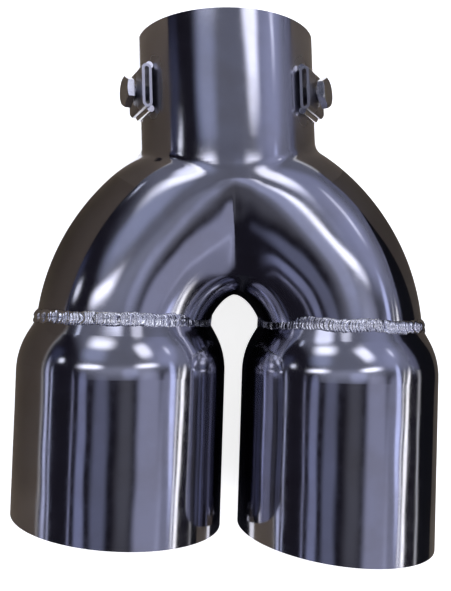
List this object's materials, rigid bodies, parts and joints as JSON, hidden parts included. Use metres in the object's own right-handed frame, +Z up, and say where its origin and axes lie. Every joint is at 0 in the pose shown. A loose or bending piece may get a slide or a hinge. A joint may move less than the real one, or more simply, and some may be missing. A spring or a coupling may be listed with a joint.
{
  "type": "exhaust tip",
  "caption": "Clamp-on exhaust tip of polished steel tube: a round inlet collar with radial clamp screws splits into bent legs that end in wide, slant-cut outlets.",
  "frame": {"origin": "centre of the collar's mouth", "axes": "+Y out of the mouth along the collar's axis, so the legs and outlets run towards -Y; +X to the right and +Z up when the tip lies on its outlets"},
  "size_m": [0.1622, 0.1959, 0.0762],
  "materials": {
    "polished_tube": "polished",
    "weld_bead": "as welded",
    "screw_steel": "zinc plated"
  },
  "bodies": {
    "tip": {"inlet_collar": "polished_tube", "left_elbow": "polished_tube", "right_elbow": "polished_tube", "left_outlet": "polished_tube", "right_outlet": "polished_tube", "left_outlet_weld": "weld_bead", "right_outlet_weld": "weld_bead", "left_clamp_sleeve": "polished_tube", "right_clamp_sleeve": "polished_tube", "left_sleeve_welds": "weld_bead", "right_sleeve_welds": "weld_bead"},
    "left_screw": {"left_clamp_screw": "screw_steel"},
    "right_screw": {"right_clamp_screw": "screw_steel"}
  },
  "joints": [
    {"name": "left_screw_travel", "type": "slide", "parent": "tip", "child": "left_screw", "axis": [-0.9397, 0, 0.342], "range_m": [-0.00105, 0.004]},
    {"name": "right_screw_travel", "type": "slide", "parent": "tip", "child": "right_screw", "axis": [0.8572, 0, 0.515], "range_m": [-0.00105, 0.004]}
  ]
}
